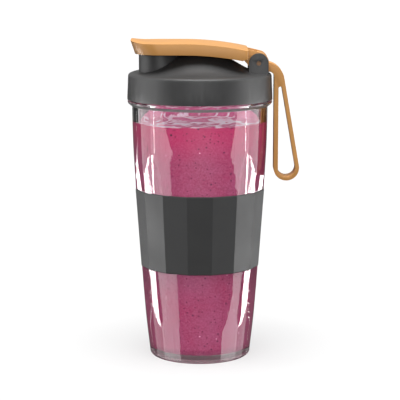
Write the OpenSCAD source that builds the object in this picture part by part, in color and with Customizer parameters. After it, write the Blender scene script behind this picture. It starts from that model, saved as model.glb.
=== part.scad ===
// Clear faceted drinking tumbler with a soft grip sleeve, a screw-on lid, a flip cap over
// its round spout and a carry loop. The cap and the loop turn on one hinge pin.
// +Z is up, the foot stands on z = 0, the spout is towards -X and the hinge towards +X.

/* [Jar] */
// Height of the jar from the foot to the rim
jar_h = 174.9; // [150:0.1:210]
// Outer radius of the jar at the foot
foot_r = 31.7; // [27:0.1:38]
// Outer radius of the jar just below the lid
collar_r = 42.7; // [38:0.1:52]
// How far the side bows out past a straight taper, halfway up
side_bow = 2.2; // [1.8:0.1:3]
// Wall thickness of the jar
jar_wall = 3.8; // [3.2:0.1:5]
// Thickness of the jar's floor
jar_floor = 5; // [4:0.5:12]
// Inner radius where the cavity's wall meets its floor
cavity_round = 5; // [4:0.5:10]
// Number of flat facets round the jar
facet_count = 16; // [12:2:24]
// Height at which the facets start
facet_z0 = 22; // [15:1:40]
// Height at which the facets fade out
facet_z1 = 136; // [115:1:140]

/* [Neck and thread] */
// Step in from the collar to the neck that carries the thread
neck_step = 1.5; // [1.2:0.1:2]
// Wall thickness of the neck
neck_wall = 2.3; // [2:0.1:3]
// Height of a thread ridge
thread_h = 1.5; // [1.2:0.1:1.8]
// Clearance between a ridge's crest and the wall it faces
thread_gap = 0.6; // [0.4:0.05:0.8]
// Distance between neighbouring ridges along the axis
thread_pitch = 4; // [3.3:0.1:4.8]
// Number of thread starts
thread_starts = 3; // [2:1:4]
// Thickness of the stop flange under the lid
flange_t = 1.5; // [1.2:0.1:3]

/* [Grip sleeve] */
// Height of the sleeve's lower edge
sleeve_z0 = 58.4; // [45:0.1:72]
// Height of the sleeve
sleeve_h = 49.7; // [40:0.1:60]
// Thickness of the sleeve
sleeve_t = 1.6; // [1.3:0.1:2]
// How far the sleeve stands proud of the jar
sleeve_proud = 0.35; // [0:0.05:0.6]

/* [Lid] */
// Height of the lid's outer skirt
skirt_h = 13.8; // [12:0.1:18]
// Thickness of the skirt
skirt_wall = 2.4; // [2:0.1:3]
// Draft of the skirt, in radius
skirt_draft = 0.6; // [0:0.1:0.8]
// Rise of the dome above the lid's shoulder
dome_rise = 11.4; // [9:0.1:14]
// Radius of the dome's flat top
dome_flat_r = 8.5; // [6:0.5:12]
// Wall thickness of the dome
dome_t = 2.4; // [2:0.1:3]
// Thickness of the gasket
gasket_t = 1.6; // [1.2:0.1:2]
// Distance of the spout from the lid's axis
spout_x = 24.9; // [21:0.1:27]
// Outer radius of the spout
spout_r = 13.4; // [11:0.1:14]
// Wall thickness of the spout
spout_wall = 2.4; // [2:0.1:3]

/* [Hinge] */
// Distance of the hinge pin in from the skirt's outside
hinge_inset = 9.2; // [8:0.1:11]
// Height of the hinge pin above the skirt's top edge
hinge_rise = 9.4; // [9.2:0.1:12]
// Radius of the hinge pin
pin_r = 1.45; // [1.2:0.05:1.75]
// Radius of the ears' round tops
ear_r = 6.1; // [5:0.1:6.3]
// Thickness of each ear
ear_t = 3; // [2.5:0.1:4]
// Gap between the ears
ear_gap = 22; // [20:0.1:28]

/* [Flip cap] */
// Width of the flip cap
cap_w = 48; // [40:0.5:58]
// Height of the flip cap's side
cap_h = 6.8; // [5.7:0.1:8.2]
// Thickness of the flip cap's top
cap_top_t = 2; // [1.6:0.1:2.4]
// Thickness of the flip cap's side walls
cap_wall = 1.8; // [1.5:0.1:2.2]
// How far the nose's lower edge reaches past the spout's axis
nose_reach = 15.4; // [14.5:0.1:20]
// Plan radius of the nose's two corners
nose_round = 16; // [10:0.5:19]
// How far the nose's wall leans out, in degrees
nose_lean = 19; // [0:1:25]

/* [Carry loop] */
// Width of the carry loop, along the hinge pin
loop_w = 12.6; // [10:0.1:14]
// Thickness of the loop's outer limb and its round end
loop_t = 2.45; // [2:0.05:2.7]
// Thickness of the loop's inner limb, next to the jar
loop_inner_t = 2.75; // [2.7:0.05:3.4]
// Distance from the hinge pin down to the centre of the loop's round end
loop_drop = 66.6; // [55:0.1:80]
// Outer radius of the loop's round end
loop_end_r = 8.05; // [6.7:0.05:10]
// Gap between the hanging loop and the lid's skirt
loop_gap = 0.8; // [0.6:0.1:2]

/* [Hidden] */
$fn = 96;

// Colours
clear_c = [0.86, 0.90, 0.92, 0.45];
grey_c = [0.27, 0.27, 0.28];
tan_c = [0.90, 0.66, 0.42];
seal_c = [0.80, 0.79, 0.76];

// Heights, from the rim down and up
edge_t = 1.8;                                  // lid's top at its edge, above the gasket's seat
seat_z = jar_h + gasket_t;                     // underside of the lid's top, where the gasket sits
skirt_top_z = seat_z + edge_t;                 // top of the skirt's straight side
skirt_z0 = skirt_top_z - skirt_h;
flange_z1 = skirt_z0 - 0.6;
flange_z0 = flange_z1 - flange_t;
collar_z = flange_z0 - 2.1;                    // the flange's lower chamfer ends here
sleeve_z1 = sleeve_z0 + sleeve_h;

// Radii of the neck and the lid, from the inside out
neck_r = collar_r - neck_step;
mouth_r = neck_r - neck_wall;
lid_root_r = neck_r + thread_h + thread_gap;
skirt_r = lid_root_r + skirt_wall;
skirt_top_r = skirt_r - skirt_draft;
flange_r = skirt_r - 0.3;
lip_r = mouth_r - 1.9;                         // outside of the lid's lip inside the mouth
lip_t = 1.2;
thread_lead = thread_pitch * thread_starts;

// Dome
shoulder_w = 6.1;                              // width and height of the full, rounded shoulder
shoulder_h = 2.9;
dome_r = skirt_top_r - shoulder_w;
dome_z = skirt_top_z + shoulder_h;
dome_top_z = dome_z + dome_rise;
bore_r = spout_r - spout_wall;
spout_top_z = dome_top_z + 0.3;

// Hinge
hinge_x = skirt_r - hinge_inset;
hinge_z = skirt_top_z + hinge_rise;
knuckle_r = ear_r + 0.4;                       // cap's knuckles, a little larger than the ears
pin_fit = 0.05;                                // radial running clearance on the pin
side_fit = 0.3;                                // side clearance between pieces on the pin
ear_y1 = ear_gap / 2 + ear_t;
arm_y1 = ear_gap / 2 - side_fit;
arm_y0 = loop_w / 2 + side_fit;

// Flip cap: its top is flat over the spout, bends down towards the hinge and lifts at the nose
cap_z = spout_top_z + 0.5;                     // lower edge over the spout
cap_x1 = hinge_x - knuckle_r;                  // rear end, which clears the ears as it turns
bend_x = -10;
bend_r = 186;
lift_x = -33;
lift_r = 35;
nose_x = -spout_x - nose_reach;
rear_round = 2;

// Seal under the cap
seal_gap = 0.3;                                // gap between the seal's plug and the spout's bore
seal_top_z = spout_top_z + 1.5;
boss_r = bore_r - 3.5;

// Carry loop, seen along -Y: a shoulder arc, a slanted outer limb and a round end
loop_x = skirt_r + loop_gap;
shoulder_c = [hinge_x + 4.4, hinge_z - 11.9];
shoulder_r = 12.1;
end_c = [loop_x + loop_end_r, hinge_z - loop_drop];
inner_round = 3.2;
slot_top_r = 1.1;

function mix(a, b, t) = a + (b - a) * t;

// Points along an arc from angle a0 to a1
function arc(c, r, a0, a1, n) =
    [for (i = [0 : n]) let (a = mix(a0, a1, i / n)) [c[0] + r * cos(a), c[1] + r * sin(a)]];

// Outer radius of the round jar at height z
function side_r(z) =
    let (t = z / collar_z) mix(foot_r, collar_r, t) + 4 * side_bow * t * (1 - t);

// Distance of a facet from the axis at height z: a chord of the bowed side
function facet_r(z) =
    mix(side_r(facet_z0), side_r(facet_z1), (z - facet_z0) / (facet_z1 - facet_z0));

// Height of the dome's outer surface at radius r
function dome_h(r) =
    let (t = min(1, max(0, (r - dome_flat_r) / (dome_r - dome_flat_r))))
    dome_z + dome_rise * (1 + cos(180 * t)) / 2;

// Heights of the flip cap's bent sheet, without and with the lift at its nose
function bent_z(x) = cap_z + cap_h - pow(max(0, x - bend_x), 2) / (2 * bend_r);
function cap_top_z(x) = bent_z(x) + pow(max(0, lift_x - x), 2) / (2 * lift_r);

// The bowed, faceted side between two heights, grown outwards by grow
module faceted_side(grow, z0, z1, steps = 8) {
    margin = 3;
    difference() {
        rotate_extrude()
            polygon(concat([[0, z0]],
                           [for (i = [0 : steps]) let (z = mix(z0, z1, i / steps)) [side_r(z) + grow, z]],
                           [[0, z1]]));
        for (i = [0 : facet_count - 1])
            rotate([0, 0, 360 * i / facet_count])
                rotate([90, 0, 0])
                    linear_extrude(height = 3 * collar_r * tan(180 / facet_count), center = true)
                        polygon([[facet_r(facet_z0 - margin) + grow, facet_z0 - margin],
                                 [facet_r(facet_z1 + margin) + grow, facet_z1 + margin],
                                 [2 * collar_r, facet_z1 + margin],
                                 [2 * collar_r, facet_z0 - margin]]);
    }
}

// One helical ridge: root_r is buried in the wall, crest_r is free, and both ends run out
module thread_ridge(root_r, crest_r, z, turn0, sweep) {
    step = 5;
    n = floor(sweep / step);
    root_w = 0.9;
    crest_w = 0.5;
    inward = crest_r < root_r;
    ring = inward ? [0, 1, 2, 3] : [3, 2, 1, 0];
    function fade(i) = min(1, 0.3 + 0.25 * min(i, n - i));
    function section(i) =
        let (a = turn0 + i * step,
             zc = z + thread_lead * i * step / 360,
             rc = mix(root_r, crest_r, fade(i)),
             p = [[root_r, -root_w], [rc, -crest_w], [rc, crest_w], [root_r, root_w]])
        [for (k = ring) [p[k][0] * cos(a), p[k][0] * sin(a), zc + p[k][1]]];
    polyhedron(
        points = [for (i = [0 : n]) each section(i)],
        faces = concat([[0, 1, 2, 3]],
                       [for (i = [0 : n - 1], k = [0 : 3])
                           [4 * i + k, 4 * i + 4 + k, 4 * i + 4 + (k + 1) % 4, 4 * i + (k + 1) % 4]],
                       [[4 * n + 3, 4 * n + 2, 4 * n + 1, 4 * n]]));
}

// All the ridges of one thread
module thread(root_r, crest_r, z, turn0, sweep) {
    for (i = [0 : thread_starts - 1])
        thread_ridge(root_r, crest_r, z, turn0 + 360 * i / thread_starts, sweep);
}

// The solid of the jar's foot, up to where its rounded edge ends
module jar_foot(edge) {
    rotate_extrude()
        polygon(concat([[0, 0]],
                       arc([side_r(edge) - edge, edge], edge, -90, 0, 8),
                       [[0, edge]]));
}

// Flange, neck and rounded rim
module jar_neck() {
    rim = 1;
    rotate_extrude()
        polygon(concat([[0, collar_z], [collar_r, collar_z], [flange_r, flange_z0],
                        [flange_r, flange_z1], [neck_r, flange_z1]],
                       arc([neck_r - rim, jar_h - rim], rim, 0, 90, 6),
                       [[0, jar_h]]));
}

// The space inside the jar
module jar_cavity() {
    steps = 14;
    top = collar_z - 8;
    wall_z = jar_floor + cavity_round;
    r0 = side_r(wall_z) - jar_wall;
    rotate_extrude()
        polygon(concat([[0, jar_floor]],
                       arc([r0 - cavity_round, wall_z], cavity_round, -90, 0, 8),
                       [for (i = [1 : steps])
                           let (z = mix(wall_z, top, i / steps)) [side_r(z) - jar_wall, z]],
                       [[mouth_r, flange_z0], [mouth_r, jar_h - 1], [mouth_r + 0.6, jar_h + 1],
                        [0, jar_h + 1]]));
}

// Shallow hollow under the foot, so that the jar stands on a ring
module foot_hollow() {
    ring = 7.5;
    rotate_extrude()
        polygon([[0, -1], [foot_r - ring, -1], [foot_r - ring, 0], [foot_r - ring - 2, 1.6],
                 [0, 2]]);
}

module jar() {
    foot_edge = 2.2;
    fit = 0.05;
    recess = sleeve_t - sleeve_proud + fit;
    color(clear_c)
        difference() {
            union() {
                jar_foot(foot_edge);
                faceted_side(0, foot_edge, sleeve_z0 - fit);
                faceted_side(-recess, sleeve_z0 - fit, sleeve_z1 + fit);
                faceted_side(0, sleeve_z1 + fit, collar_z);
                jar_neck();
                thread(neck_r - 0.6, neck_r + thread_h, flange_z1 + 2.4, 0, 150);
            }
            jar_cavity();
            foot_hollow();
        }
}

module grip_sleeve() {
    color(grey_c)
        difference() {
            faceted_side(sleeve_proud, sleeve_z0, sleeve_z1);
            faceted_side(sleeve_proud - sleeve_t, sleeve_z0 - 1, sleeve_z1 + 1);
        }
}

// Outside of the lid: skirt, full rounded shoulder (a superellipse) and bell-shaped dome
module lid_outside() {
    steps = 24;
    rotate_extrude()
        polygon(concat([[0, skirt_z0], [skirt_r, skirt_z0]],
                       [for (i = [0 : 15]) let (a = 6 * i)
                           [dome_r + shoulder_w * pow(cos(a), 2 / 3),
                            skirt_top_z + shoulder_h * pow(sin(a), 2 / 3)]],
                       [for (i = [1 : steps]) let (r = mix(dome_r, dome_flat_r, i / steps))
                           [r, dome_h(r)]],
                       [[0, dome_top_z]]));
}

// Inside of the lid: thread wall, gasket seat, lip and the hollow under the dome
module lid_inside() {
    steps = 16;
    r0 = lip_r - lip_t;
    rotate_extrude()
        polygon(concat([[0, skirt_z0 - 1], [lid_root_r, skirt_z0 - 1], [lid_root_r, seat_z],
                        [lip_r, seat_z], [lip_r, jar_h - 1], [r0, jar_h - 1]],
                       [for (i = [0 : steps]) let (r = mix(r0, dome_flat_r, i / steps))
                           [r, dome_h(r) - dome_t]],
                       [[0, dome_top_z - dome_t]]));
}

// Spout with a rounded rim, closed at the bottom: the dome's hollow and the bore open it
module spout() {
    rim = 0.8;
    translate([-spout_x, 0, 0])
        rotate_extrude()
            polygon(concat([[0, skirt_top_z], [spout_r, skirt_top_z]],
                           arc([spout_r - rim, spout_top_z - rim], rim, 0, 90, 5),
                           [[0, spout_top_z]]));
}

// One plate of the hinge's fork, y0 to y1 along the pin
module ear(y0, y1) {
    translate([hinge_x, y1, 0])
        rotate([90, 0, 0])
            linear_extrude(height = y1 - y0) {
                translate([0, hinge_z])
                    circle(r = ear_r);
                translate([-ear_r, skirt_top_z])
                    square([2 * ear_r, hinge_rise]);
            }
}

// A round bar along Y at the hinge
module hinge_bar(r, half_length) {
    translate([hinge_x, half_length, hinge_z])
        rotate([90, 0, 0])
            cylinder(r = r, h = 2 * half_length);
}

module lid_shell() {
    lid_turn0 = 20;
    color(grey_c) {
        difference() {
            union() {
                lid_outside();
                spout();
                ear(ear_gap / 2, ear_y1);
                ear(-ear_y1, -ear_gap / 2);
            }
            lid_inside();
            translate([-spout_x, 0, skirt_z0])
                cylinder(r = bore_r, h = spout_top_z - skirt_z0 + 1);
            hinge_bar(knuckle_r + 0.6, ear_gap / 2);
            hinge_bar(pin_r, ear_y1 + 1);
        }
        thread(lid_root_r + 0.6, lid_root_r - thread_h,
               flange_z1 + 2.4 + thread_pitch / 2 + thread_lead * lid_turn0 / 360, lid_turn0, 90);
    }
}

module lid_gasket() {
    color(seal_c)
        difference() {
            translate([0, 0, jar_h])
                cylinder(r = neck_r + 0.2, h = gasket_t);
            translate([0, 0, jar_h - 1])
                cylinder(r = lip_r + 0.1, h = gasket_t + 2);
        }
}

module hinge_pin() {
    color(tan_c)
        hinge_bar(pin_r, ear_y1 - 0.4);
}

// Side outline of the flip cap, extruded along Y: inset moves its top, nose and rear inwards
module cap_profile(top_drop, x1, bottom_drop, half_w) {
    steps = 26;
    x0 = nose_x - 6;
    rotate([90, 0, 0])
        linear_extrude(height = 2 * half_w, center = true)
            polygon(concat(
                [for (i = [0 : steps]) let (x = mix(x0, x1, i / steps)) [x, cap_top_z(x) - top_drop]],
                [for (i = [steps : -1 : 0]) let (x = mix(x0, x1, i / steps))
                    [x, bent_z(x) - cap_h - bottom_drop]]));
}

// Plan outline of the flip cap along an axis that leans out at the nose
module cap_plan(inset) {
    half_w = cap_w / 2 - inset;
    r = nose_round - inset;
    translate([nose_x, 0, cap_z])
        rotate([0, -nose_lean, 0])
            translate([0, 0, -25])
                linear_extrude(height = 60) {
                    for (side = [-1, 1])
                        translate([nose_round, side * (half_w - r)])
                            circle(r = r);
                    translate([inset, r - half_w])
                        square([nose_round, 2 * (half_w - r)]);
                    translate([nose_round, -half_w])
                        square([3 * spout_x + hinge_x, 2 * half_w]);
                }
}

// Upright outline with the two rounded rear corners
module cap_rear() {
    half_w = cap_w / 2;
    translate([0, 0, hinge_z - 20])
        linear_extrude(height = 60) {
            translate([-3 * spout_x, -half_w])
                square([3 * spout_x + cap_x1 - rear_round, 2 * half_w]);
            translate([-3 * spout_x, rear_round - half_w])
                square([3 * spout_x + cap_x1, 2 * (half_w - rear_round)]);
            for (side = [-1, 1])
                translate([cap_x1 - rear_round, side * (half_w - rear_round)])
                    circle(r = rear_round);
        }
}

// One of the cap's two arms, which reach between the ears to the pin
module cap_arm(y0, y1) {
    steps = 6;
    x0 = cap_x1 - 3;
    x1 = hinge_x + 1.6;
    translate([0, y1, 0])
        rotate([90, 0, 0])
            linear_extrude(height = y1 - y0) {
                translate([hinge_x, hinge_z])
                    circle(r = knuckle_r);
                polygon(concat(
                    [for (i = [0 : steps]) let (x = mix(x0, x1, i / steps)) [x, bent_z(x)]],
                    [[hinge_x, hinge_z], [hinge_x - 5, hinge_z - 3], [x0, bent_z(x0) - cap_h]]));
            }
}

module flip_cap() {
    rib_y = bore_r + 3.5;
    color(tan_c)
        difference() {
            union() {
                difference() {
                    intersection() {
                        cap_profile(0, cap_x1, 0, cap_w / 2);
                        cap_plan(0);
                        cap_rear();
                    }
                    intersection() {
                        cap_profile(cap_top_t, cap_x1 - cap_wall, 10, cap_w / 2 - cap_wall);
                        cap_plan(cap_wall);
                    }
                }
                cap_arm(arm_y0, arm_y1);
                cap_arm(-arm_y1, -arm_y0);
                // Boss that holds the seal, and the ring that presses its rim
                translate([-spout_x, 0, 0])
                    rotate_extrude()
                        polygon([[0, cap_z + cap_h - 0.5], [0, cap_z - 3], [boss_r, cap_z - 3],
                                 [boss_r, seal_top_z], [boss_r + 4.5, seal_top_z],
                                 [boss_r + 4.5, cap_z + cap_h - 0.5]]);
                // Stiffening ribs along the underside
                intersection() {
                    cap_profile(0.5, cap_x1 - 0.5, 0, cap_w / 2);
                    for (side = [-1, 1])
                        translate([1 - spout_x, side * rib_y - 0.6, cap_z])
                            cube([spout_x + cap_x1 - 2, 1.2, cap_h]);
                }
            }
            hinge_bar(pin_r + pin_fit, ear_y1);
        }
}

module spout_seal() {
    rim_r = bore_r + 1.6;
    plug_r = bore_r - seal_gap;
    depth = 5;
    color(seal_c)
        translate([-spout_x, 0, 0])
            rotate_extrude()
                polygon([[0, spout_top_z - depth], [plug_r - 0.6, spout_top_z - depth],
                         [plug_r, spout_top_z - depth + 1.2], [plug_r, spout_top_z + 0.1],
                         [rim_r, spout_top_z + 0.1], [rim_r, seal_top_z], [boss_r, seal_top_z],
                         [boss_r, cap_z - 3], [0, cap_z - 3]]);
}

// Side outline of the carry loop
module loop_outline() {
    d = end_c - shoulder_c;
    a = atan2(d[1], d[0]) + acos((shoulder_r - loop_end_r) / norm(d));
    corner = [loop_x - inner_round, hinge_z - 5.9 - inner_round];
    n = [cos(a), sin(a)];
    slot_x = loop_x + loop_inner_t + slot_top_r;
    slot_z = (n * shoulder_c + shoulder_r - loop_t - slot_top_r - n[0] * slot_x) / n[1];
    slot_turn = acos((loop_end_r - loop_inner_t) / (loop_end_r - loop_t));
    difference() {
        polygon(concat([[hinge_x, hinge_z]],
                       arc(shoulder_c, shoulder_r, 84, a, 16),
                       arc(end_c, loop_end_r, a, -180, 36),
                       arc(corner, inner_round, 0, 90, 10),
                       [[hinge_x, hinge_z - 5.9]]));
        polygon(concat(arc([slot_x, slot_z], slot_top_r, 180, a, 12),
                       arc(end_c, loop_end_r - loop_t, a, -180 + slot_turn, 36)));
    }
}

module carry_loop() {
    color(tan_c)
        difference() {
            union() {
                translate([0, loop_w / 2, 0])
                    rotate([90, 0, 0])
                        linear_extrude(height = loop_w)
                            loop_outline();
                hinge_bar(ear_r, loop_w / 2);
            }
            hinge_bar(pin_r + pin_fit, loop_w);
        }
}

jar();
grip_sleeve();
lid_shell();
lid_gasket();
hinge_pin();
flip_cap();
spout_seal();
carry_loop();
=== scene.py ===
"""Looks of the drinking tumbler: materials, the drink inside it, studio and camera."""
import math

import bmesh
import bpy
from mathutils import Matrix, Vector, noise


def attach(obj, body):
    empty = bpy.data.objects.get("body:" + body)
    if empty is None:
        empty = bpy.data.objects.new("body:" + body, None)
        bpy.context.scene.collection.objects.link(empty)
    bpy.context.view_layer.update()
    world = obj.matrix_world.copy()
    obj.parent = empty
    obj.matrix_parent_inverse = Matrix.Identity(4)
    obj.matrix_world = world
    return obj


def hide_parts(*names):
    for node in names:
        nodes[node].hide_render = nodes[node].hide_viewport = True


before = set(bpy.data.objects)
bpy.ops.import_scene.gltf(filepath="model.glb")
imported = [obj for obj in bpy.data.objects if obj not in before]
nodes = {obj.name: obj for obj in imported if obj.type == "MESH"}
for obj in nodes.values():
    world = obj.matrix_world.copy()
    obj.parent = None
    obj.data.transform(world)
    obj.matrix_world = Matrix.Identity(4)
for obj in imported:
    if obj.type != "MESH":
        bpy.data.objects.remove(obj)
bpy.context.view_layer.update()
scene = bpy.context.scene
scene.view_settings.view_transform = "Standard"

# The tumbler's own sizes are in millimetres, and the camera, studio and textures are in metres.
MM = 0.001


def add_object(name, data):
    """Puts a new object into the scene."""
    thing = bpy.data.objects.new(name, data)
    scene.collection.objects.link(thing)
    return thing


# ---------------------------------------------------------------- camera
PITCH = math.radians(9.8)
CAMERA_DISTANCE = 1.0189
FIELD_OF_VIEW = math.radians(14.25)
target = Vector((0.0001, 0.0, 0.0995))
camera_data = bpy.data.cameras.new("camera")
camera = add_object("camera", camera_data)
camera_data.sensor_fit = "HORIZONTAL"
camera_data.angle = FIELD_OF_VIEW
camera_data.clip_start = 0.05
camera_data.clip_end = 60.0
camera.location = target + CAMERA_DISTANCE * Vector((0.0, -math.cos(PITCH), math.sin(PITCH)))
camera.rotation_euler = (math.pi / 2 - PITCH, 0.0, 0.0)
scene.camera = camera


# ---------------------------------------------------------------- material helpers
def new_material(name):
    """A new material, its node tree and its Principled shader."""
    material = bpy.data.materials.new(name)
    material.use_nodes = True
    tree = material.node_tree
    return material, tree, tree.nodes["Principled BSDF"]


def put(shader, **values):
    """Sets a shader's sockets, with _ for a space: put(s, Base_Color=(r, g, b, 1))."""
    for key, value in values.items():
        shader.inputs[key.replace("_", " ")].default_value = value


def object_coords(tree):
    """Where a point is, in metres, in the object's own frame."""
    return tree.nodes.new("ShaderNodeTexCoord").outputs["Object"]


def along(tree, coords, axis):
    """One of a position's three numbers: X, Y or Z."""
    node = tree.nodes.new("ShaderNodeSeparateXYZ")
    tree.links.new(coords, node.inputs["Vector"])
    return node.outputs[axis]


def noise_node(tree, coords, scale, detail=2.0, rough=0.5, distortion=0.0):
    """A noise texture whose scale is in waves per metre."""
    node = tree.nodes.new("ShaderNodeTexNoise")
    node.inputs["Scale"].default_value = scale
    node.inputs["Detail"].default_value = detail
    node.inputs["Roughness"].default_value = rough
    node.inputs["Distortion"].default_value = distortion
    tree.links.new(coords, node.inputs["Vector"])
    return node.outputs["Fac"]


def ramp(tree, fac, stops):
    """A colour ramp: stops are (position, (r, g, b))."""
    node = tree.nodes.new("ShaderNodeValToRGB")
    elements = node.color_ramp.elements
    while len(elements) < len(stops):
        elements.new(0.5)
    for element, (position, colour) in zip(elements, stops):
        element.position = position
        element.color = (*colour, 1.0)
    tree.links.new(fac, node.inputs["Fac"])
    return node.outputs["Color"]


def map_range(tree, value, low, high, to_low, to_high):
    """Maps one number range onto another, clamped."""
    node = tree.nodes.new("ShaderNodeMapRange")
    node.inputs["From Min"].default_value = low
    node.inputs["From Max"].default_value = high
    node.inputs["To Min"].default_value = to_low
    node.inputs["To Max"].default_value = to_high
    tree.links.new(value, node.inputs["Value"])
    return node.outputs["Result"]


# Sockets of a Mix node that mixes colours
MIX_FACTOR = 0
MIX_A = 6
MIX_B = 7
MIX_RESULT = 2


def mix_colour(tree, fac, a, b, mode="MIX"):
    """Mixes two colours, each a socket or a tuple, by a factor that is a socket or a number."""
    node = tree.nodes.new("ShaderNodeMix")
    node.data_type = "RGBA"
    node.blend_type = mode
    for index, value in ((MIX_FACTOR, fac), (MIX_A, a), (MIX_B, b)):
        socket = node.inputs[index]
        if isinstance(value, (int, float)):
            socket.default_value = value
        elif isinstance(value, tuple):
            socket.default_value = (*value, 1.0)
        else:
            tree.links.new(value, socket)
    return node.outputs[MIX_RESULT]


def add_bump(tree, shader, height, strength, distance):
    """Bumps a shader's surface by a height socket."""
    node = tree.nodes.new("ShaderNodeBump")
    node.inputs["Strength"].default_value = strength
    node.inputs["Distance"].default_value = distance
    tree.links.new(height, node.inputs["Height"])
    tree.links.new(node.outputs["Normal"], shader.inputs["Normal"])


BUMP_DEPTH = 0.0002


def moulded_plastic(name, colour, roughness, grain_scale, grain, shine=0.5):
    """Plastic out of a fine-grained mould: faint cloudiness in its colour and its gloss."""
    material, tree, shader = new_material(name)
    coords = object_coords(tree)
    cloud = noise_node(tree, coords, 55.0, 3.0)
    fine = noise_node(tree, coords, grain_scale, 4.0, 0.6)
    dark = tuple(c * 0.95 for c in colour)
    light = tuple(min(1.0, c * 1.04) for c in colour)
    tree.links.new(ramp(tree, cloud, [(0.3, dark), (0.7, light)]), shader.inputs["Base Color"])
    tree.links.new(map_range(tree, cloud, 0.3, 0.7, roughness - 0.03, roughness + 0.04),
                   shader.inputs["Roughness"])
    put(shader, IOR=1.5, Specular_IOR_Level=shine)
    add_bump(tree, shader, fine, grain, BUMP_DEPTH)
    return material


# ---------------------------------------------------------------- materials
GREY = (0.044, 0.044, 0.0445)
TAN = (0.61, 0.292, 0.080)
# The pin's colour is the tan plastic darkened to about a third: painted shade for the pin end that
# sits in shadow in its bore.
SHADED_TAN = (0.20, 0.085, 0.02)
PALE_GREY = (0.62, 0.60, 0.56)
CLEAR_IOR = 1.53
DRINK_IOR = 1.4
grey_plastic = moulded_plastic("grey_plastic", GREY, roughness=0.42, grain_scale=1500.0, grain=0.18,
                               shine=0.33)
grip_rubber = moulded_plastic("grip_rubber", GREY, roughness=0.48, grain_scale=1800.0, grain=0.25,
                              shine=0.25)
tan_plastic = moulded_plastic("tan_plastic", TAN, roughness=0.40, grain_scale=1300.0, grain=0.12,
                              shine=0.35)
pin_plastic = moulded_plastic("pin_plastic", SHADED_TAN, roughness=0.45, grain_scale=1300.0, grain=0.12)
silicone = moulded_plastic("silicone", PALE_GREY, roughness=0.50, grain_scale=900.0, grain=0.2)


def clear_plastic():
    """Thick clear plastic: faintly grey, nearly mirror smooth."""
    material, tree, shader = new_material("clear_plastic")
    coords = object_coords(tree)
    put(shader, IOR=CLEAR_IOR, Base_Color=(0.95, 0.955, 0.955, 1.0), Transmission_Weight=1.0)
    haze = noise_node(tree, coords, 40.0, 2.0)
    tree.links.new(map_range(tree, haze, 0.3, 0.7, 0.0, 0.02), shader.inputs["Roughness"])
    return material


def frosted_plastic():
    """The same plastic, finely frosted, for the underside and the slope below the flange."""
    material, _, shader = new_material("frosted_underside")
    put(shader, IOR=CLEAR_IOR, Roughness=0.30, Base_Color=(0.86, 0.89, 0.87, 1.0))
    put(shader, Transmission_Weight=0.7)
    return material


def dots(tree, coords, scale, low, high, rarity):
    """A mask of small round dots in some of a Voronoi texture's cells; rarity leaves cells out."""
    cells = tree.nodes.new("ShaderNodeTexVoronoi")
    cells.inputs["Scale"].default_value = scale
    tree.links.new(coords, cells.inputs["Vector"])
    spot = map_range(tree, cells.outputs["Distance"], low, high, 1.0, 0.0)
    pick = tree.nodes.new("ShaderNodeSeparateColor")
    tree.links.new(cells.outputs["Color"], pick.inputs["Color"])
    keep = map_range(tree, pick.outputs["Red"], rarity, rarity + 0.02, 0.0, 1.0)
    both = tree.nodes.new("ShaderNodeMath")
    both.operation = "MULTIPLY"
    tree.links.new(spot, both.inputs[0])
    tree.links.new(keep, both.inputs[1])
    return both.outputs[0]


def smoothie_material():
    """Blended berries: clouded pink, deeper near the top, with seeds and tiny bubbles."""
    material, tree, shader = new_material("smoothie")
    coords = object_coords(tree)
    cloud = noise_node(tree, coords, 34.0, 6.0, 0.68, 0.8)
    fine = noise_node(tree, coords, 900.0, 2.0, 0.7)
    base = ramp(tree, cloud, [(0.34, (0.309, 0.014, 0.080)), (0.48, (0.297, 0.035, 0.106)),
                              (0.68, (0.322, 0.067, 0.152))])
    base = mix_colour(tree, 0.45, base, ramp(tree, fine, [(0.30, (0.175, 0.013, 0.055)),
                                                          (0.50, (0.304, 0.039, 0.116)),
                                                          (0.70, (0.425, 0.103, 0.193))]))
    near_top = map_range(tree, along(tree, coords, "Z"), 0.128, 0.149, 0.0, 0.60)
    base = mix_colour(tree, near_top, base, (0.560, 0.016, 0.120))
    # Skins and seeds from fine to coarse, then small pale bubbles
    for scale, low, high, rarity, colour in (
            (430.0, 0.12, 0.28, 0.60, (0.142, 0.010, 0.049)),
            (260.0, 0.08, 0.20, 0.66, (0.10, 0.012, 0.05)),
            (120.0, 0.06, 0.11, 0.86, (0.05, 0.01, 0.03)),
            (300.0, 0.07, 0.14, 0.95, (0.85, 0.45, 0.60))):
        base = mix_colour(tree, dots(tree, coords, scale, low, high, rarity), base, colour)
    base = mix_colour(tree, 1.0, base, (1.10, 1.06, 1.10), "MULTIPLY")
    tree.links.new(base, shader.inputs["Base Color"])
    put(shader, Roughness=0.4, IOR=DRINK_IOR)
    return material


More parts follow.
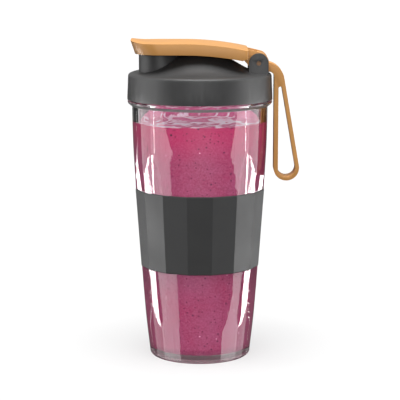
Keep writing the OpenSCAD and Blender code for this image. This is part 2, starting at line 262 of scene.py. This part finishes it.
def foam_material():
    """The drink's top: pink with pale lilac swirls of froth, and plain pink up the wall. It glows
    faintly in its own colour: painted light for the light that the lid keeps off it.
    """
    material, tree, shader = new_material("froth")
    coords = object_coords(tree)
    swirl = noise_node(tree, coords, 21.0, 3.0, 0.5, 2.2)
    fine = noise_node(tree, coords, 260.0, 3.0, 0.6, 0.6)
    base = ramp(tree, swirl, [(0.38, (0.60, 0.12, 0.27)), (0.455, (0.44, 0.045, 0.16)),
                              (0.475, (0.76, 0.50, 0.64)), (0.525, (0.82, 0.66, 0.76)),
                              (0.55, (0.50, 0.05, 0.18)), (0.66, (0.66, 0.17, 0.35))])
    base = mix_colour(tree, 0.12, base, ramp(tree, fine, [(0.4, (0.40, 0.04, 0.15)),
                                                         (0.6, (0.85, 0.6, 0.72))]))
    on_wall = map_range(tree, along(tree, coords, "Z"), 0.1512, 0.1525, 0.0, 0.62)
    base = mix_colour(tree, on_wall, base, (0.60, 0.105, 0.27))
    tree.links.new(base, shader.inputs["Base Color"])
    # Painted light: the froth and the film up the wall glow in their own colour, to make up for the
    # light that the lid keeps off the drink's top.
    tree.links.new(base, shader.inputs["Emission Color"])
    put(shader, Emission_Strength=0.50, Roughness=0.45, IOR=DRINK_IOR, Specular_IOR_Level=0.15)
    add_bump(tree, shader, swirl, 0.6, 0.003)
    return material


clear = clear_plastic()
frosted = frosted_plastic()
smoothie_pink = smoothie_material()
froth = foam_material()


def dress(name, material):
    """Gives a CAD node's own mesh its material."""
    data = nodes[name].data
    data.materials.clear()
    data.materials.append(material)


dress("lid_gasket", silicone)
dress("hinge_pin", pin_plastic)
dress("spout_seal", silicone)


# ---------------------------------------------------------------- the jar and its sleeve
# Outer side: round from the foot to the collar, and bowed outwards
FOOT_R = 31.7
FOOT_EDGE = 2.2
COLLAR_R = 42.7
COLLAR_Z = 160.3
SIDE_BOW = 2.2
# Inside
WALL = 3.8
FLOOR_Z = 5.0
FLOOR_ROUND = 5.0
INSIDE_Z1 = COLLAR_Z - 8
# Hollow under the foot
HOLLOW_R = 22.2
HOLLOW_Z = 2.0
HOLLOW_EDGE_Z = 1.6
# Facets
FACETS = 16
FACET_Z0 = 22.0
FACET_Z1 = 136.0
# Grip sleeve and the recess it sits in
SLEEVE_Z0 = 58.4
SLEEVE_Z1 = 108.1
SLEEVE_PROUD = 0.35
SLEEVE_T = 1.6
SLEEVE_FIT = 0.05
SLEEVE_EDGE = 0.5
RECESS = SLEEVE_T - SLEEVE_PROUD + SLEEVE_FIT
# Flange, neck and mouth
FLANGE_R = 45.4
FLANGE_Z0 = 162.4
FLANGE_Z1 = 163.9
FLANGE_EDGE = 0.4
SLOPE_HOLLOW = 0.35
NECK_R = 41.2
NECK_CORNER = 0.3
MOUTH_R = 38.9
RIM_Z = 174.9
RIM_ROUND = 1.0
MOUTH_ROUND = 0.4
# Neck thread: angles in degrees from each start
THREAD_STARTS = 3
THREAD_LEAD = 12.0
THREAD_TURN = 150.0
THREAD_Z = 166.3
THREAD_T = 1.5
THREAD_HALF = 0.95
THREAD_FLANK = 0.4
THREAD_FADE = 20.0
THREAD_END = 0.3
# How far past the sleeve the recess runs, and where its floor begins
RECESS_EDGE = 0.05
RECESS_FLOOR = 0.04
# Points around every turned mesh, and the height between its rings
AROUND = FACETS * 12
SIDE_STEP = 1.2
RECESS_STEP = 2.5
THREAD_STEP = 0.25
SLEEVE_STEP = 1.6
PLAIN_STEP = 3.0


def side_r(z):
    """Outer radius of the round jar at height z, in millimetres."""
    t = z / COLLAR_Z
    return FOOT_R + (COLLAR_R - FOOT_R) * t + 4 * SIDE_BOW * t * (1 - t)


def facet_r(z):
    """Distance of a flat facet from the axis at height z."""
    t = (z - FACET_Z0) / (FACET_Z1 - FACET_Z0)
    return side_r(FACET_Z0) + (side_r(FACET_Z1) - side_r(FACET_Z0)) * t


def faceted_r(angle, z, grow):
    """Radius of the faceted side in one direction, grown outwards by grow."""
    pitch = 2 * math.pi / FACETS
    off = (angle + pitch / 2) % pitch - pitch / 2
    return min(side_r(z) + grow, (facet_r(z) + grow) / math.cos(off))


def thread_rise(angle, z):
    """How far the neck's thread ridges stand out at a point of the neck."""
    rise = 0.0
    for start in range(THREAD_STARTS):
        turn = (math.degrees(angle) - 360 / THREAD_STARTS * start) % 360
        if turn > THREAD_TURN:
            continue
        centre = THREAD_Z + THREAD_LEAD * turn / 360
        ends = min(1.0, THREAD_END + min(turn, THREAD_TURN - turn) / THREAD_FADE)
        off = abs(z - centre)
        flank = min(1.0, max(0.0, (THREAD_HALF - off) / THREAD_FLANK))
        rise = max(rise, THREAD_T * ends * flank)
    return rise


def shade(mesh, side_limit, other_limit):
    """Smooth shading with crisp edges: between two tagged faces the first limit counts."""
    mesh.normal_update()
    for face in mesh.faces:
        face.smooth = True
    for edge in mesh.edges:
        if len(edge.link_faces) == 2:
            limit = side_limit if all(face.tag for face in edge.link_faces) else other_limit
            edge.smooth = edge.calc_face_angle(0.0) < math.radians(limit)


def turned(name, rows, close_start, close_end, side_limit=3.5, other_limit=30.0):
    """A solid of rings. A row is (radius, z, is it tagged as faceted side), in millimetres.

    A radius can be a function of the angle. Without close_start the last ring meets the first;
    with it, each end is closed by a fan whose middle lies at the height given.
    """
    mesh = bmesh.new()
    rings = []
    for radius, z, _ in rows:
        ring = []
        for k in range(AROUND):
            a = 2 * math.pi * k / AROUND
            r = radius(a) if callable(radius) else radius
            ring.append(mesh.verts.new((r * math.cos(a) * MM, r * math.sin(a) * MM, z * MM)))
        rings.append(ring)
    for i in range(len(rings) - 1):
        low, high = rings[i], rings[i + 1]
        for k in range(AROUND):
            n = (k + 1) % AROUND
            face = mesh.faces.new((low[k], low[n], high[n], high[k]))
            face.tag = rows[i][2] and rows[i + 1][2]
    if close_start is None:
        low, high = rings[-1], rings[0]
        for k in range(AROUND):
            n = (k + 1) % AROUND
            mesh.faces.new((low[k], low[n], high[n], high[k]))
    else:
        first = mesh.verts.new((0, 0, close_start * MM))
        last = mesh.verts.new((0, 0, close_end * MM))
        for k in range(AROUND):
            n = (k + 1) % AROUND
            mesh.faces.new((first, rings[0][n], rings[0][k]))
            mesh.faces.new((last, rings[-1][k], rings[-1][n]))
    shade(mesh, side_limit, other_limit)
    data = bpy.data.meshes.new(name)
    mesh.to_mesh(data)
    mesh.free()
    return add_object(name, data)


def spread(low, high, step):
    """Evenly spaced values from low to high, about step apart."""
    count = max(1, round((high - low) / step))
    return [low + (high - low) * i / count for i in range(count + 1)]


def arc_points(cx, cz, r, a0, a1, steps):
    """Points along an arc, in degrees."""
    points = []
    for i in range(steps + 1):
        a = math.radians(a0 + (a1 - a0) * i / steps)
        points.append((cx + r * math.cos(a), cz + r * math.sin(a)))
    return points


def side_row(z, grow):
    """One tagged row of the faceted side, grown outwards by grow."""
    return (lambda a: faceted_r(a, z, grow), z, True)


def build_jar():
    """The clear jar, one thick wall: rounded foot, faceted side, flange, threaded neck."""
    ground_r = side_r(FOOT_EDGE) - FOOT_EDGE
    # From the hollow out over its sloping edge, onto the ring that the jar stands on
    rows = [(HOLLOW_R, HOLLOW_EDGE_Z, False), (HOLLOW_R + 1.7, 0.25, False)]
    rows.append((HOLLOW_R + 2.1, 0.0, False))
    for r, z in arc_points(ground_r, FOOT_EDGE, FOOT_EDGE, -90, 0, 8)[:-1]:
        rows.append((r, z, False))
    for z in spread(FOOT_EDGE, SLEEVE_Z0 - RECESS_EDGE, SIDE_STEP):
        rows.append(side_row(z, 0.0))
    for z in spread(SLEEVE_Z0 - RECESS_FLOOR, SLEEVE_Z1 + RECESS_FLOOR, RECESS_STEP):
        rows.append(side_row(z, -RECESS))
    for z in spread(SLEEVE_Z1 + RECESS_EDGE, COLLAR_Z, SIDE_STEP):
        rows.append(side_row(z, 0.0))
    slope_steps = 8
    for i in range(1, slope_steps + 1):
        t = i / slope_steps
        r = COLLAR_R + (FLANGE_R - COLLAR_R) * t
        z = COLLAR_Z + (FLANGE_Z0 - COLLAR_Z) * t - SLOPE_HOLLOW * math.sin(math.pi * t)
        rows.append((r, z, False))
    rows.append((FLANGE_R, FLANGE_Z1 - FLANGE_EDGE, False))
    rows.append((FLANGE_R - FLANGE_EDGE, FLANGE_Z1, False))
    rows.append((NECK_R + NECK_CORNER, FLANGE_Z1, False))
    rows.append((NECK_R, FLANGE_Z1 + NECK_CORNER, False))
    for z in spread(FLANGE_Z1 + NECK_CORNER + 0.2, RIM_Z - RIM_ROUND - 0.1, THREAD_STEP):
        rows.append((lambda a, z=z: NECK_R + thread_rise(a, z), z, False))
    for r, z in arc_points(NECK_R - RIM_ROUND, RIM_Z - RIM_ROUND, RIM_ROUND, 0, 90, 6):
        rows.append((r, z, False))
    for r, z in arc_points(MOUTH_R + MOUTH_ROUND, RIM_Z - MOUTH_ROUND, MOUTH_ROUND, 90, 180, 4):
        rows.append((r, z, False))
    rows.append((MOUTH_R, FLANGE_Z0, False))
    wall_z = FLOOR_Z + FLOOR_ROUND
    for z in reversed(spread(wall_z, INSIDE_Z1, PLAIN_STEP)):
        rows.append((side_r(z) - WALL, z, False))
    corner_r = side_r(wall_z) - WALL - FLOOR_ROUND
    for r, z in reversed(arc_points(corner_r, wall_z, FLOOR_ROUND, -90, 0, 10)[:-1]):
        rows.append((r, z, False))
    piece = turned("jar_clear", rows, HOLLOW_Z, FLOOR_Z)
    piece.data.materials.append(clear)
    piece.data.materials.append(frosted)
    for face in piece.data.polygons:
        r = face.center.xy.length / MM
        z = face.center.z / MM
        underside = z < HOLLOW_Z + 0.1 and r < ground_r
        slope = COLLAR_Z - 0.1 < z < FLANGE_Z0 + 0.1 and r > COLLAR_R
        if underside or slope:
            face.material_index = 1
    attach(piece, "jar")
    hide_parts("jar")
    piece.visible_shadow = False


def build_sleeve():
    """The grip sleeve: the same facets, a little proud, with softened rims."""
    soft = SLEEVE_EDGE
    low = SLEEVE_Z0
    high = SLEEVE_Z1
    outer = SLEEVE_PROUD
    rows = [(lambda a: faceted_r(a, low, outer - SLEEVE_T), low, False)]
    for drop, z in ((soft, low), (soft * 0.3, low + soft * 0.3), (0.0, low + soft)):
        rows.append((lambda a, z=z, g=outer - drop: faceted_r(a, z, g), z, False))
    for z in spread(low + soft, high - soft, SLEEVE_STEP)[1:-1]:
        rows.append(side_row(z, outer))
    for drop, z in ((0.0, high - soft), (soft * 0.3, high - soft * 0.3), (soft, high)):
        rows.append((lambda a, z=z, g=outer - drop: faceted_r(a, z, g), z, False))
    rows.append((lambda a: faceted_r(a, high, outer - SLEEVE_T), high, False))
    for z in reversed(spread(low, high, PLAIN_STEP)[1:-1]):
        rows.append((lambda a, z=z: faceted_r(a, z, outer - SLEEVE_T), z, False))
    piece = turned("sleeve_soft", rows, None, None, other_limit=12.0)
    piece.data.materials.append(grip_rubber)
    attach(piece, "jar")
    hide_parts("grip_sleeve")


WELD = 2e-6


def softened(node, name, material, width, body):
    """A copy of a CAD node's mesh whose edges are rounded over, width in millimetres."""
    data = nodes[node].data.copy()
    data.name = name
    piece = add_object(name, data)
    mesh = bmesh.new()
    mesh.from_mesh(data)
    bmesh.ops.remove_doubles(mesh, verts=mesh.verts, dist=WELD)
    bmesh.ops.dissolve_limit(mesh, angle_limit=math.radians(0.6), verts=mesh.verts,
                             edges=mesh.edges)
    mesh.to_mesh(data)
    mesh.free()
    bevel = piece.modifiers.new("bevel", "BEVEL")
    bevel.width = width * MM
    bevel.segments = 3
    bevel.limit_method = "ANGLE"
    bevel.angle_limit = math.radians(38)
    bevel.use_clamp_overlap = True
    bevel.miter_outer = "MITER_ARC"
    depsgraph = bpy.context.evaluated_depsgraph_get()
    data = bpy.data.meshes.new_from_object(piece.evaluated_get(depsgraph))
    piece.modifiers.clear()
    piece.data = data
    data.name = name
    if data.has_custom_normals:
        with bpy.context.temp_override(object=piece, active_object=piece,
                                       selected_objects=[piece]):
            bpy.ops.mesh.customdata_custom_splitnormals_clear()
    mesh = bmesh.new()
    mesh.from_mesh(data)
    shade(mesh, 25.0, 25.0)
    mesh.to_mesh(data)
    mesh.free()
    data.materials.clear()
    data.materials.append(material)
    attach(piece, body)
    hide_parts(node)


build_jar()
build_sleeve()
softened("flip_cap", "cap_soft", tan_plastic, 0.45, "flip_cap")
softened("carry_loop", "loop_soft", tan_plastic, 0.45, "carry_loop")
softened("lid_shell", "lid_soft", grey_plastic, 0.35, "lid")


# ---------------------------------------------------------------- the drink
# The drink's level, how far it reaches into the plastic, and the thickness of its film on the wall
DRINK_Z = 150.1
WETTING = 0.12
FILM = 0.5


def inner_r(z):
    """Radius of the jar's inside near its neck."""
    if z < INSIDE_Z1:
        return side_r(z) - WALL
    t = min(1.0, (z - INSIDE_Z1) / (FLANGE_Z0 - INSIDE_Z1))
    return (side_r(INSIDE_Z1) - WALL) * (1 - t) + MOUTH_R * t


def film_height(a):
    """How far the film of drink left on the wall reaches up: a little in front, more behind.

    The last number of each noise point picks a slice of the noise.
    """
    back = min(1.0, max(0.0, (math.sin(a) + 0.05) / 0.75))
    ripple = noise.noise(Vector((3 * math.cos(a), 3 * math.sin(a), 1.7)))
    fine = noise.noise(Vector((14 * math.cos(a), 14 * math.sin(a), 5.2)))
    front = 0.35 + 0.5 * ripple + 0.35 * fine
    return max(0.05, front) + back * back * (3 - 2 * back) * (5.6 + 1.2 * ripple + 0.5 * fine)


def top_z(x, y, from_rim):
    """Height of the drink's top: it sinks a little from the rim and has low waves."""
    z = DRINK_Z - 0.8 * (1 - math.exp(-from_rim / 1.3))
    wave = 1.0 * noise.noise(Vector((x / 16, y / 16, 3.1)))
    wave += 0.5 * noise.noise(Vector((x / 6.5, y / 6.5, 7.7)))
    return z + wave * min(1.0, from_rim / 5)


def froth_face(mesh, corners):
    """One smooth face of the drink's top."""
    face = mesh.faces.new(corners)
    face.material_index = 1
    face.smooth = True


# How far the plain body's top lies below the rim, and the rings of the frothy top that replaces it
PLAIN_TOP_DROP = 1.2
TOP_RINGS = 48


def drink():
    """The drink: its side lies a hair inside the plastic, and its top is frothy and uneven."""
    round_z = FLOOR_Z + FLOOR_ROUND
    centre_r = side_r(round_z) - WALL - FLOOR_ROUND
    points = arc_points(centre_r, round_z, FLOOR_ROUND + WETTING, -90, 0, 10)[:-1]
    points += [(side_r(z) - WALL + WETTING, z) for z in spread(round_z, DRINK_Z, PLAIN_STEP)]
    rows = [(r, z, False) for r, z in points]
    rim_r = points[-1][0]
    piece = turned("smoothie", rows, points[0][1], DRINK_Z - PLAIN_TOP_DROP)
    data = piece.data
    mesh = bmesh.new()
    mesh.from_mesh(data)
    # The plain top goes, and the rim is drawn up the wall to the top of the film
    tops = [face for face in mesh.faces
            if face.normal.z > 0.9 and face.calc_center_median().z > (DRINK_Z - 10) * MM]
    bmesh.ops.delete(mesh, geom=tops, context="FACES")
    loose = [v for v in mesh.verts if not v.link_faces]
    bmesh.ops.delete(mesh, geom=loose, context="VERTS")
    ring = sorted((v for v in mesh.verts if abs(v.co.z - DRINK_Z * MM) < 1e-6),
                  key=lambda v: math.atan2(v.co.y, v.co.x) % (2 * math.pi))
    for vert in ring:
        a = math.atan2(vert.co.y, vert.co.x)
        z = DRINK_Z + film_height(a)
        r = inner_r(z) + WETTING
        vert.co = (r * math.cos(a) * MM, r * math.sin(a) * MM, z * MM)
    angles = [math.atan2(vert.co.y, vert.co.x) for vert in ring]
    # The new top: down the inside of the film, then in rings to the middle
    previous = ring
    for i in range(TOP_RINGS):
        share = 1 - i / TOP_RINGS
        ring = []
        for a in angles:
            if i == 0:
                r = inner_r(DRINK_Z + film_height(a)) - FILM
                z = DRINK_Z + film_height(a) - 0.2
            elif i == 1:
                r = rim_r - 2 * FILM
                z = DRINK_Z + 0.2
            else:
                r = rim_r * share
                z = top_z(r * math.cos(a), r * math.sin(a), rim_r - r)
            ring.append(mesh.verts.new((r * math.cos(a) * MM, r * math.sin(a) * MM, z * MM)))
        for k in range(AROUND):
            n = (k + 1) % AROUND
            froth_face(mesh, (previous[k], previous[n], ring[n], ring[k]))
        previous = ring
    middle = mesh.verts.new((0, 0, sum(v.co.z for v in previous) / AROUND))
    for k in range(AROUND):
        froth_face(mesh, (previous[k], previous[(k + 1) % AROUND], middle))
    mesh.to_mesh(data)
    mesh.free()
    data.materials.append(smoothie_pink)
    data.materials.append(froth)
    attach(piece, "jar")


drink()


# ---------------------------------------------------------------- studio
WHITE = (1.0, 1.0, 1.0, 1.0)
BLACK = (0.0, 0.0, 0.0, 1.0)


def floor():
    """A wide pale floor that curves up into a far wall."""
    mesh = bmesh.new()
    around = 96
    flat_r = 7.0
    curve_r = 2.0
    wall_top = 6.0
    profile = [(0.5, 0.0), (2.0, 0.0), (flat_r, 0.0)]
    for i in range(1, 9):
        a = math.radians(90 * i / 8)
        profile.append((flat_r + curve_r * math.sin(a), curve_r - curve_r * math.cos(a)))
    profile.append((flat_r + curve_r, wall_top))
    rings = []
    for r, z in profile:
        rings.append([mesh.verts.new((r * math.cos(2 * math.pi * k / around),
                                      r * math.sin(2 * math.pi * k / around), z))
                      for k in range(around)])
    centre = mesh.verts.new((0, 0, 0))
    for k in range(around):
        mesh.faces.new((centre, rings[0][k], rings[0][(k + 1) % around]))
    for low, high in zip(rings, rings[1:]):
        for k in range(around):
            n = (k + 1) % around
            mesh.faces.new((low[k], high[k], high[n], low[n]))
    for face in mesh.faces:
        face.smooth = True
    data = bpy.data.meshes.new("floor")
    mesh.to_mesh(data)
    mesh.free()
    material, _, shader = new_material("floor")
    put(shader, Base_Color=(0.30, 0.30, 0.30, 1.0), Roughness=0.9, Specular_IOR_Level=0.0)
    put(shader, Emission_Color=WHITE, Emission_Strength=0.51)
    data.materials.append(material)
    piece = add_object("floor", data)
    piece.visible_glossy = False
    piece.visible_diffuse = False


def card_object(name, corners, material):
    """A flat four-cornered card of the stage that the camera doesn't see."""
    data = bpy.data.meshes.new(name)
    data.from_pydata(corners, [], [(0, 1, 2, 3)])
    data.materials.append(material)
    card = add_object(name, data)
    card.visible_camera = False
    card.visible_diffuse = False
    card.visible_shadow = False
    return card


def reflection_card(name, corners, strength, streaks=False):
    """A glowing card that only reflections see; streaks make it uneven along Y."""
    material, tree, shader = new_material(name)
    put(shader, Base_Color=BLACK, Roughness=1.0, Specular_IOR_Level=0.0)
    put(shader, Emission_Color=WHITE, Emission_Strength=strength)
    if streaks:
        across = tree.nodes.new("ShaderNodeCombineXYZ")
        tree.links.new(along(tree, object_coords(tree), "Y"), across.inputs["Y"])
        wave = noise_node(tree, across.outputs["Vector"], 16.0, 8.0, 0.72)
        tree.links.new(map_range(tree, wave, 0.34, 0.66, strength * 0.60, strength * 1.35),
                       shader.inputs["Emission Strength"])
    card = card_object(name, corners, material)
    card.visible_transmission = False


floor()
sun_data = bpy.data.lights.new("sky_softbox", "SUN")
sun_data.energy = 5.0
sun_data.angle = math.radians(48)
sun = add_object("sky_softbox", sun_data)
sun.rotation_euler = (math.radians(8), 0.0, 0.0)

fill_data = bpy.data.lights.new("front_fill", "AREA")
fill_data.shape = "RECTANGLE"
fill_data.size = 1.2
fill_data.size_y = 0.6
fill_data.energy = 10.5
fill_from = Vector((0.0, -1.9, 0.34))
fill_at = Vector((0.0, 0.0, 0.1))
fill = add_object("front_fill", fill_data)
fill.location = fill_from
fill.rotation_euler = (fill_at - fill_from).to_track_quat("-Z", "Y").to_euler()
fill.visible_camera = False

# The cards stand this far to each side. Beside the tumbler the front ones meet the bright ones.
CARD_X = 0.80
STRIP_X = CARD_X * 0.985
SEAM_Y = 0.0165
STRIP = 30.0


def side_card(name, side, near, far, low, high, strength, slant=0.0):
    """An upright card from near to far along Y; slant moves the near end of its low edge.

    Cards that start in front of the tumbler are streaky.
    """
    x = side * CARD_X
    corners = [(x, near + slant, low), (x, far, low), (x, far, high), (x, near, high)]
    reflection_card(name, corners, strength, near < 0)


def side_strip(name, side, low, high, strength):
    """A narrow bright strip: low and high are its near Y, far Y and height at each end."""
    x = side * STRIP_X
    corners = [(x, low[0], low[2]), (x, low[1], low[2]), (x, high[1], high[2]), (x, high[0], high[2])]
    reflection_card(name, corners, strength)


def flag(name, side, near, far, y, high):
    """A dark flag behind the tumbler that only refracted light meets: it draws the clear rims."""
    material, _, shader = new_material(name)
    put(shader, Base_Color=(0.01, 0.01, 0.01, 1.0), Roughness=1.0, Specular_IOR_Level=0.0)
    corners = [(side * near, y, 0.0), (side * far, y, 0.0), (side * far, y, high),
               (side * near, y, high)]
    card = card_object(name, corners, material)
    card.visible_glossy = False


# Per side: name, sign of X, gain over the left, reach to the front, strength of the rear card
for tag, side, gain, reach, rear in (("left", -1, 1.0, 0.772, 2.8), ("right", 1, 1.12, 0.66, 5.0)):
    front = 3.6 * gain
    side_card("card_high_" + tag, side, -0.40, SEAM_Y, 0.03, 0.9, front)
    side_card("card_mid_" + tag, side, -0.40, SEAM_Y, -0.08, 0.03, front, 0.425 - reach)
    side_card("card_front_" + tag, side, -reach, SEAM_Y, -0.6, -0.08, front)
    side_card("card_back_" + tag, side, SEAM_Y, 0.42, -0.05, 0.9, 2.3 * gain)
    side_card("card_low_" + tag, side, 0.0180, 0.36, -0.27, -0.13, 19.0 * gain, 0.003)
    side_card("card_side_" + tag, side, SEAM_Y, 0.36, -0.13, -0.05, 20.0 * gain, -0.006)
    side_card("card_foot_" + tag, side, SEAM_Y, 0.42, -0.6, -0.27, 1.7 * gain)
    side_card("card_rear_" + tag, side, 0.42, 1.0, -0.245, -0.14, rear)
    side_strip("strip_" + tag, side, (-0.092, -0.080, -0.03), (-0.122, -0.110, 0.10), STRIP)
    side_strip("strip_facet_" + tag, side, (0.0112, 0.0126, -0.115), (0.0072, 0.0086, -0.05), STRIP)
    side_card("strip_rear_" + tag, side * 0.99, 0.838, 0.845, -0.6, 0.2, 9.0)
    flag("flag_" + tag, side, 0.052, 0.16, 0.12, 0.30)

# The world is darker below than above, and even for what diffuse surfaces gather
world = bpy.data.worlds.new("world")
scene.world = world
world.use_nodes = True
background = world.node_tree.nodes["Background"]
background.inputs["Color"].default_value = WHITE
sky_tree = world.node_tree
sky = sky_tree.nodes.new("ShaderNodeTexCoord")
sky_height = along(sky_tree, sky.outputs["Generated"], "Z")
gradient = map_range(sky_tree, sky_height, -0.05, 0.20, 0.12, 0.50)
rays = sky_tree.nodes.new("ShaderNodeLightPath")
ambient = sky_tree.nodes.new("ShaderNodeMix")
sky_tree.links.new(rays.outputs["Is Diffuse Ray"], ambient.inputs["Factor"])
sky_tree.links.new(gradient, ambient.inputs["A"])
ambient.inputs["B"].default_value = 0.22
sky_tree.links.new(ambient.outputs["Result"], background.inputs["Strength"])
